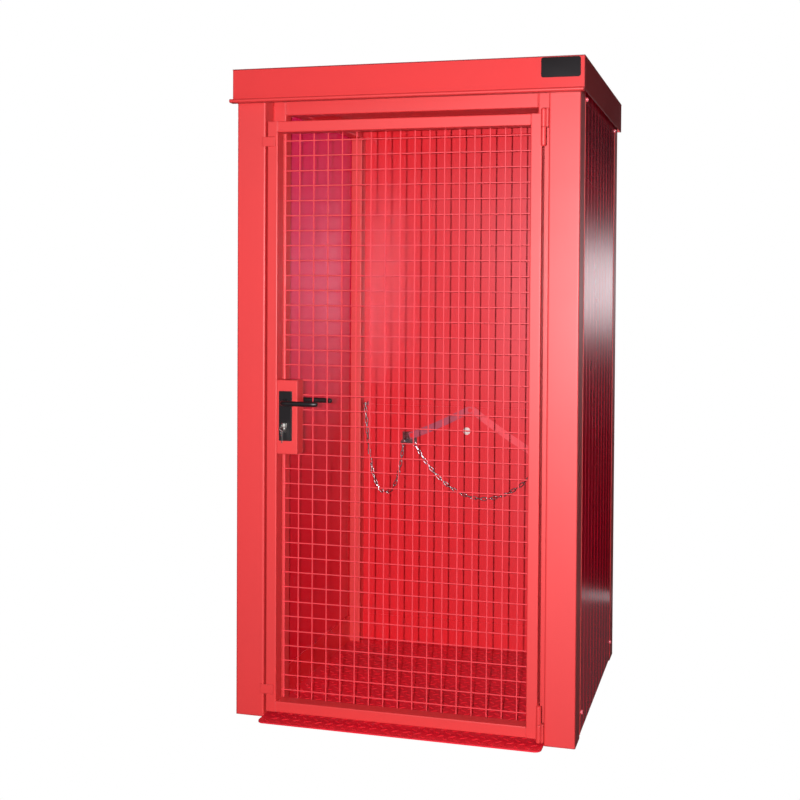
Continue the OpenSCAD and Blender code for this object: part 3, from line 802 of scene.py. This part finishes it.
# A direction whose Z is above this share of its length counts as upright
UPRIGHT = 0.9


def axes(along: Sequence[float] | np.ndarray) -> np.ndarray:
    """Sets up three unit vectors at right angles for each direction.

    The first is the cross product of the upright, or of X where the direction is upright
    itself, with the direction. The second is the cross product of the direction with the first.

    Args:
        along: One direction, or an array whose last axis is XYZ.

    Returns:
        The vectors as rows, the last of them along the direction.
    """
    z = np.asarray(along, float)
    z = z / np.linalg.norm(z, axis=-1, keepdims=True)
    x = np.cross(np.where(np.abs(z[..., 2:]) < UPRIGHT, (0.0, 0.0, 1.0), (1.0, 0.0, 0.0)), z)
    x = x / np.linalg.norm(x, axis=-1, keepdims=True)
    return np.stack([x, np.cross(z, x), z], -2)


def lathe(profile: Sequence[Pair], at: Sequence[float], along: Sequence[float], sides: int = 24) -> Shape:
    """Turns a profile of radius and height, in millimetres, about an axis.

    Args:
        profile: Radius and height of each ring.
        at: The foot of the axis, in metres.
        along: The axis' direction.
        sides: Points in a ring.

    Returns:
        The vertices and faces.
    """
    turn = np.linspace(0, 2 * math.pi, sides, endpoint=False)
    ring = np.stack([np.cos(turn), np.sin(turn), np.zeros(sides)], 1)
    rings = np.array([ring * [r, r, 0] + [0, 0, h] for r, h in profile])
    verts, faces = loft(rings * MM)
    return verts @ axes(along) + np.array(at), faces


BEAD_SIDES = 10
STEPS_PER_RIPPLE = 4
RIPPLE_SWELL = 0.22
END_SWELL = 0.4


def bead(path: Sequence[Sequence[float]], radius_mm: float, ripple_mm: float = 0.0,
         closed: bool = False) -> Shape:
    """Lays a round bead along a path, with ripples like those of a weld.

    At the i-th step the radius is scaled by 1 + RIPPLE_SWELL * sin(i * pi / 2), so that four
    steps make a ripple, and by END_SWELL at both ends.

    Args:
        path: Points in metres.
        radius_mm: The bead's radius.
        ripple_mm: The length of one ripple, or 0 for a plain bead.
        closed: Whether the path is a loop.

    Returns:
        The vertices and faces.
    """
    points = np.array(path, float)
    swell = np.ones(len(points))
    if ripple_mm:
        legs = [np.linalg.norm(b - a) for a, b in zip(points[:-1], points[1:])]
        steps = [max(2, round(leg / (ripple_mm * MM) * STEPS_PER_RIPPLE)) for leg in legs]
        parts = [a + (b - a) * np.linspace(0, 1, n, endpoint=False)[:, None]
                 for a, b, n in zip(points[:-1], points[1:], steps)]
        points = np.concatenate([*parts, points[-1:]])
        swell = 1 + RIPPLE_SWELL * np.sin(np.arange(len(points)) * math.pi / 2)
        swell[[0, -1]] = END_SWELL
    before, after = np.roll(points, 1, axis=0), np.roll(points, -1, axis=0)
    if not closed:
        before[0], after[-1] = points[0], points[-1]
    across = axes(after - before)[:, :2]
    turn = np.linspace(0, 2 * math.pi, BEAD_SIDES, endpoint=False)
    rings = np.stack([np.cos(turn), np.sin(turn)], 1) @ across
    return loft(points[:, None] + radius_mm * MM * swell[:, None, None] * rings, closed)


def rounded(width: float, height: float, radius: float, steps: int = 6) -> np.ndarray:
    """The outline of a rounded rectangle about its centre.

    Args:
        width: Its width.
        height: Its height.
        radius: The corners' radius.
        steps: Points in a corner.

    Returns:
        The outline as an N by 2 array.
    """
    turn = np.linspace(0, math.pi / 2, steps)
    corner = np.stack([np.cos(turn), np.sin(turn)], 1) * radius
    rows = []
    for i, (sx, sy) in enumerate(((1, 1), (-1, 1), (-1, -1), (1, -1))):
        c, s = math.cos(i * math.pi / 2), math.sin(i * math.pi / 2)
        centre = [sx * (width / 2 - radius), sy * (height / 2 - radius)]
        rows.append(corner @ np.array([[c, s], [-s, c]]) + centre)
    return np.concatenate(rows)


def upright(x: float, y: float, span: Pair) -> list[tuple[float, float, float]]:
    """A path straight up from one height to another."""
    return [(x, y, span[0]), (x, y, span[1])]


def level(span: Pair, y: float, z: float) -> list[tuple[float, float, float]]:
    """A path straight across from one X to another."""
    return [(span[0], y, z), (span[1], y, z)]


SHARP_DEG = 40


@dataclass(frozen=True)
class Addition(ABC):
    """A piece that the scene adds to the CAD frame.

    Attributes:
        name: The piece's name.
        finish: What it looks like.
        slot: The record's slot for it. Not used.
        body: The CAD body that it rides on.
    """

    name: str
    finish: Finishes
    slot: str = "body_paint"
    body: Body = Body.CABINET

    @abstractmethod
    def shape(self) -> Shape:
        """Works out the vertices, in metres in the row's frame, and the faces."""

    def make(self, paints: Paintbox) -> bpy.types.Object:
        """Makes the piece, smooth but for edges above SHARP_DEG, and dresses it.

        Args:
            paints: The maker of materials.

        Returns:
            The piece.
        """
        verts, faces = self.shape()
        mesh = bpy.data.meshes.new(self.name)
        mesh.from_pydata([tuple(v) for v in verts], [], faces)
        skin = bmesh.new()
        skin.from_mesh(mesh)
        bmesh.ops.recalc_face_normals(skin, faces=skin.faces)
        skin.to_mesh(mesh)
        skin.free()
        mesh.polygons.foreach_set("use_smooth", [True] * len(mesh.polygons))
        mesh.set_sharp_from_angle(angle=math.radians(SHARP_DEG))
        piece = bpy.data.objects.new(self.name, mesh)
        mesh.materials.append(paints.get(self.finish.value))
        bpy.context.scene.collection.objects.link(piece)
        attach(piece, self.body.value)
        LOG.info("%s: %d faces on the %s", self.name, len(faces), self.body.value)
        return piece


@dataclass(frozen=True)
class NamePlate(Addition):
    """A bare black plate with rounded corners on the fascia's right end.

    Each ring of the plate is its outline, set in from the edge and out from the fascia by a
    pair of rings_mm.

    Attributes:
        span_x: Its left and right edge.
        span_z: Its lower and upper edge.
        corner: The corners' radius.
        rings_mm: How far in and how far out each ring lies.
    """

    name: str = "name_plate"
    finish: Finishes = Finishes.PLATE
    slot: str = "handle_black"
    span_x: Pair = (0.451, 0.575)
    span_z: Pair = (2.097, 2.159)
    corner: float = 0.007
    rings_mm: tuple[Pair, ...] = ((0.0, -0.2), (0.0, 1.2), (0.8, 1.6))

    def shape(self) -> Shape:
        """Works out the plate.

        Returns:
            The vertices and faces.
        """
        front = Box.of("roof_cap").low.y
        wide, high = self.span_x[1] - self.span_x[0], self.span_z[1] - self.span_z[0]
        mid_x, mid_z = sum(self.span_x) / 2, sum(self.span_z) / 2
        rings = []
        for inset, out in self.rings_mm:
            x, z = rounded(wide - 2 * inset * MM, high - 2 * inset * MM, self.corner).T
            rings.append(np.stack([mid_x + x, np.full(len(x), front - out * MM), mid_z + z], 1))
        return loft(np.array(rings))


@dataclass(frozen=True)
class PanelScrews(Addition):
    """Domed screws with a socket in the corners of both side panels, and four in the rear one.

    Attributes:
        profile_mm: Radius and height, from under the head over the dome into the socket.
        heights: The Z of the lower and the upper screws.
        side_y: The Y of the side panels' screws.
        rear_inset: How far in the rear panel's screws are.
    """

    name: str = "panel_screws"
    finish: Finishes = Finishes.SCREW
    profile_mm: tuple[Pair, ...] = (
        (7.5, -0.3), (7.5, 1.5), (6.8, 3.6), (4.8, 5.0), (3.0, 5.3), (2.8, 2.4), (0.4, 2.2))
    heights: Pair = (0.073, 2.046)
    side_y: Pair = (-0.352, 0.43)
    rear_inset: float = 0.03

    def shape(self) -> Shape:
        """Works out all the screws.

        Returns:
            The vertices and faces.
        """
        sides, rear = Box.of("wall_left", "wall_right"), Box.of("wall_rear")
        screws = [lathe(self.profile_mm, (x, y, z), (way, 0, 0))
                  for way, x in ((-1, sides.low.x), (1, sides.high.x))
                  for y in self.side_y for z in self.heights]
        screws += [lathe(self.profile_mm, (x, rear.high.y, z), (0, 1, 0))
                   for x in (rear.low.x + self.rear_inset, rear.high.x - self.rear_inset)
                   for z in self.heights]
        return join(screws)


@dataclass(frozen=True)
class TreadTears(Addition):
    """The raised tears of the floor plate, in rows that lean left and right in turn.

    Attributes:
        size_mm: A tear's length, width and height.
        pitch_mm: From tear to tear and from row to row.
        lean_deg: How far a tear leans from the row.
        points: Points along a tear and over it.
        tip: The least of 1 - t squared, so that the tips stay open.
        sunk_mm: How deep its edge lies in the plate.
        side_margins: How far from the plate's left and right the tears start and stop.
        end_margins: How far from the plate's front and rear.
    """

    name: str = "tread_tears"
    finish: Finishes = Finishes.TEAR
    size_mm: tuple[float, float, float] = (27.0, 7.0, 1.9)
    pitch_mm: Pair = (38.0, 26.0)
    lean_deg: float = 38
    points: int = 9
    tip: float = 0.004
    sunk_mm: float = 0.2
    side_margins: Pair = (0.03, 0.026)
    end_margins: Pair = (0.017, 0.02)

    def tear(self) -> Shape:
        """Works out one tear about its centre, along X.

        A tear is a lens: at t from -1 to 1 along it, its half width and its height both follow
        the square root of 1 - t squared.

        Returns:
            The vertices and faces.
        """
        t = np.sin(np.linspace(-1, 1, self.points) * math.pi / 2)
        thin = np.sqrt(np.clip(1 - t * t, self.tip, 1))
        arch = np.linspace(0, math.pi, self.points)
        length, width, height = self.size_mm
        rings = [np.stack([np.full(self.points, length / 2 * a), width / 2 * b * np.cos(arch),
                           height * b * np.sin(arch) - self.sunk_mm], 1) for a, b in zip(t, thin)]
        return loft(np.array(rings) * MM)

    def shape(self) -> Shape:
        """Works out all the tears.

        Returns:
            The vertices and faces.
        """
        box = Box.of("floor_plate")
        template, sides = self.tear()
        pitch_x, pitch_y = (p * MM for p in self.pitch_mm)
        tears = []
        for j, y in enumerate(np.arange(box.low.y + self.end_margins[0],
                                        box.high.y - self.end_margins[1], pitch_y)):
            odd = j % 2
            lean = math.radians(self.lean_deg if odd else -self.lean_deg)
            c, s = math.cos(lean), math.sin(lean)
            turned = template @ np.array([[c, s, 0], [-s, c, 0], [0, 0, 1]])
            first = box.low.x + self.side_margins[0] + odd * pitch_x / 2
            for x in np.arange(first, box.high.x - self.side_margins[1], pitch_x):
                tears.append((turned + [x, y, box.high.z], sides))
        return join(tears)


@dataclass(frozen=True)
class CabinetWelds(Addition):
    """Weld beads where the front legs meet the left post and the lintel.

    A bead is its radius and the length of a ripple, in millimetres.

    Attributes:
        leg_bead: The bead between the left leg and the post.
        leg_inset_mm: How far right of and behind the leg's edge it lies.
        leg_z: Its height from and to.
        leg_width: How far the lintel's beads are from the legs' outer edges.
        lintel_bead: The bead up the lintel's face.
        lintel_inset_mm: How far behind the lintel's face it lies, and how far below its top it ends.
        under_bead: The bead under the lintel.
        under_inset_mm: How far from the lintel's front and rear it ends.
    """

    name: str = "cabinet_welds"
    finish: Finishes = Finishes.BODY
    leg_bead: Pair = (2.6, 6)
    leg_inset_mm: Pair = (1.5, 3)
    leg_z: Pair = (1.985, 2.052)
    leg_width: float = 0.046
    lintel_bead: Pair = (3.0, 6)
    lintel_inset_mm: Pair = (1.8, 3)
    under_bead: Pair = (2.0, 5)
    under_inset_mm: float = 4

    def shape(self) -> Shape:
        """Works out the beads.

        Returns:
            The vertices and faces.
        """
        leg, beam = Box.of("upright_front"), Box.of("lintel")
        right, behind = (inset * MM for inset in self.leg_inset_mm)
        beads = [bead(upright(leg.low.x + right, leg.low.y + behind, self.leg_z), *self.leg_bead)]
        inside, below = (inset * MM for inset in self.lintel_inset_mm)
        ends = self.under_inset_mm * MM
        for x in (leg.low.x + self.leg_width, leg.high.x - self.leg_width):
            face = upright(x, beam.low.y + inside, (beam.low.z, beam.high.z - below))
            under = [(x, beam.low.y + ends, beam.low.z), (x, beam.high.y - ends, beam.low.z)]
            beads += [bead(face, *self.lintel_bead), bead(under, *self.under_bead)]
        return join(beads)


@dataclass(frozen=True)
class DoorWelds(Addition):
    """Weld beads round the door's stop tabs, at the lock case and at the corners of its frame.

    A bead is its radius and the length of a ripple, in millimetres.

    Attributes:
        tab_bead: The beads above and below each tab.
        tab_height: A tab's height.
        tab_inset_mm: How far from the tab's ends and rear face its beads lie.
        case_bead: The beads above and below the lock case.
        case_x: Where they start and end, from the case's left.
        corner_bead: The beads at the corners.
        corner_inset_mm: How far behind the leaf's face they lie, and how far from the rail's edges
            they end.
    """

    name: str = "door_welds"
    finish: Finishes = Finishes.DOOR
    slot: str = "door_paint"
    body: Body = Body.DOOR
    tab_bead: Pair = (1.6, 4)
    tab_height: float = 0.031
    tab_inset_mm: Pair = (1, 0.5)
    case_bead: Pair = (1.4, 4)
    case_x: Pair = (0.006, 0.034)
    corner_bead: Pair = (2.0, 5)
    corner_inset_mm: Pair = (1.2, 2)

    def shape(self) -> Shape:
        """Works out the beads.

        Returns:
            The vertices and faces.
        """
        leaf = Box.of("stile_left", "stile_right")
        tabs, case = Box.of("stop_tabs"), Box.of("lock_case")
        ends, before = (inset * MM for inset in self.tab_inset_mm)
        across_tab = (leaf.low.x + ends, tabs.high.x - ends)
        beads = [bead(level(across_tab, tabs.high.y - before, z), *self.tab_bead)
                 for z in (tabs.low.z, tabs.low.z + self.tab_height,
                           tabs.high.z - self.tab_height, tabs.high.z)]
        across_case = (case.low.x + self.case_x[0], case.low.x + self.case_x[1])
        beads += [bead(level(across_case, leaf.low.y, z), *self.case_bead)
                  for z in (case.low.z, case.high.z)]
        behind, margin = (inset * MM for inset in self.corner_inset_mm)
        for rail in (Box.of("door_rail_top"), Box.of("door_rail_bottom")):
            for x in (rail.low.x, rail.high.x):
                corner = upright(x, leaf.low.y + behind, (rail.low.z + margin, rail.high.z - margin))
                beads.append(bead(corner, *self.corner_bead))
        return join(beads)


@dataclass(frozen=True)
class JointBeads(Addition):
    """The upright beads of paint where the side panels meet the corner posts.

    Attributes:
        below_post: How far below the posts' tops they end.
        radius_mm: A bead's radius.
    """

    name: str = "joint_beads"
    finish: Finishes = Finishes.BODY
    below_post: float = 0.035
    radius_mm: float = 1.6

    def shape(self) -> Shape:
        """Works out the beads.

        Returns:
            The vertices and faces.
        """
        wall, top = Box.of("wall_left", "wall_right"), Box.of("post_front_left").high.z
        return join([bead(upright(x, y, (wall.low.z, top - self.below_post)), self.radius_mm)
                     for x in (wall.low.x, wall.high.x) for y in (wall.low.y, wall.high.y)])


@dataclass(frozen=True)
class RoofSeam(Addition):
    """The dark line of sealant under the roof's top edge.

    Attributes:
        radius_mm: The line's radius.
        below_edge_mm: How far below the edge its middle lies.
    """

    name: str = "roof_seam"
    finish: Finishes = Finishes.SEAM
    radius_mm: float = 1.5
    below_edge_mm: float = 1.6

    def shape(self) -> Shape:
        """Works out the line, once round the roof.

        Returns:
            The vertices and faces.
        """
        cap = Box.of("roof_cap")
        z = cap.high.z - self.below_edge_mm * MM
        loop = [(cap.low.x, cap.low.y, z), (cap.high.x, cap.low.y, z),
                (cap.high.x, cap.high.y, z), (cap.low.x, cap.high.y, z)]
        return bead(loop, self.radius_mm, closed=True)


@dataclass(frozen=True)
class Strap(Addition):
    """The webbing strap: a thin band with sewn edges that waves a little between its pegs.

    Attributes:
        start: The X and Z where it leaves the bracket.
        top: The top of its turn.
        end: Where it ends, at the lower right.
        turn_radius: The turn's radius.
        width: The webbing's width.
        sags: How far the rising and the falling stretch sag.
        counts: Points in the rising stretch, the turn with its two ends, and the falling stretch.
        waves: Each wave's height in millimetres, its length over two pi in metres, and its phase.
        across: The section's points, as shares of half the width.
        thick_mm: How far each of them lies before or behind the middle.
        rosy_x: From where to where the webbing turns rosy: a painted sheen.
    """

    name: str = "strap_webbing"
    finish: Finishes = Finishes.WEBBING
    slot: str = "webbing"
    start: Pair = (-0.235, 0.842)
    top: Pair = (0.016, 0.955)
    end: Pair = (0.389, 0.735)
    turn_radius: float = 0.034
    width: float = 0.028
    sags: Pair = (0.005, 0.012)
    counts: tuple[int, int, int] = (40, 14, 60)
    waves: tuple[tuple[float, float, float], ...] = ((0.3, 0.045, 0.0), (0.15, 0.017, 1.0))
    across: tuple[float, ...] = (-1, -0.93, -0.8, 0, 0.8, 0.93, 1, 1, 0.93, 0.8, 0, -0.8, -0.93, -1)
    thick_mm: tuple[float, ...] = (
        0.4, 0.7, 0.55, 0.55, 0.55, 0.7, 0.4, -0.4, -0.7, -0.55, -0.55, -0.55, -0.7, -0.4)
    rosy_x: Pair = (-0.06, 0.08)

    @staticmethod
    def slack(p: np.ndarray, q: np.ndarray, sag: float, count: int) -> np.ndarray:
        """Hangs a stretch between two points.

        At t from 0 to 1 along it, it lies 4 * sag * t * (1 - t) below the straight line.

        Args:
            p: Where it starts.
            q: Where it ends.
            sag: How far its middle hangs down.
            count: How many points it has.

        Returns:
            The points.
        """
        t = np.linspace(0, 1, count)[:, None]
        return p + t * (q - p) - 4 * sag * t * (1 - t) * (0, 1)

    def turn(self, angles: np.ndarray) -> np.ndarray:
        """Points of the turn, whose centre lies one radius below its top."""
        return np.array(self.top) + self.turn_radius * np.stack([np.cos(angles), np.sin(angles) - 1], -1)

    def line(self) -> np.ndarray:
        """The strap's middle line in X and Z: up from the bracket, round its turn and down right.

        The turn starts and ends square to the straight lines from the start to the top and from
        the top to the end.

        Returns:
            The points.
        """
        start, top, end = (np.array(p) for p in (self.start, self.top, self.end))
        slopes = [math.atan2(q[1] - p[1], q[0] - p[0]) for p, q in ((start, top), (top, end))]
        rising, around, falling = self.counts
        arc = self.turn(np.linspace(*(math.pi / 2 + slope for slope in slopes), around))
        return np.concatenate([self.slack(start, arc[0], self.sags[0], rising), arc[1:-1],
                               self.slack(arc[-1], end, self.sags[1], falling)])

    def way(self) -> np.ndarray:
        """How far along the strap each point of its line lies, in metres."""
        return np.concatenate([[0], np.cumsum(np.linalg.norm(np.diff(self.line(), axis=0), axis=1))])

    def shape(self) -> Shape:
        """Carries the section along the line, with the waves to the front and the rear.

        The wave is a sum of sines of the way along the strap, under half a millimetre together.

        Returns:
            The vertices and faces.
        """
        line = self.line()
        along = np.gradient(line, axis=0)
        square = np.stack([-along[:, 1], along[:, 0]], 1) / np.linalg.norm(along, axis=1)[:, None]
        wave = sum(high * np.sin(self.way() / length + phase) for high, length, phase in self.waves)
        flat = line[:, None] + square[:, None] * np.array(self.across)[:, None] * self.width / 2
        depth = Box.of("strap").middle.y - (wave[:, None] + np.array(self.thick_mm)) * MM
        return loft(np.stack([flat[..., 0], depth, flat[..., 1]], -1))

    def make(self, paints: Paintbox) -> bpy.types.Object:
        """Makes the strap and lets it turn rosy towards its right end.

        Args:
            paints: The maker of materials.

        Returns:
            The strap.
        """
        strap = super().make(paints)
        # Painted sheen: the strap turns rosy towards its right end.
        paints.fade(self.finish.value, Axis.X, self.rosy_x, PAINTED_ROSY_SHEEN)
        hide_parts("strap")
        return strap


def main() -> None:
    """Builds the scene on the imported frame."""
    logging.basicConfig(level=logging.INFO, format="%(name)s: %(message)s")
    paints = Paintbox()
    Camera().place()
    Surroundings().make()
    Floor().place()
    for lamp in LAMPS:
        lamp.place()
    FramePaint().dress(paints)
    for addition in (NamePlate(), PanelScrews(), TreadTears(), CabinetWelds(), DoorWelds(), JointBeads(),
                     RoofSeam(), Strap()):
        addition.make(paints)
    bpy.context.scene.view_settings.view_transform = "Standard"


if __name__ == "__main__":
    main()
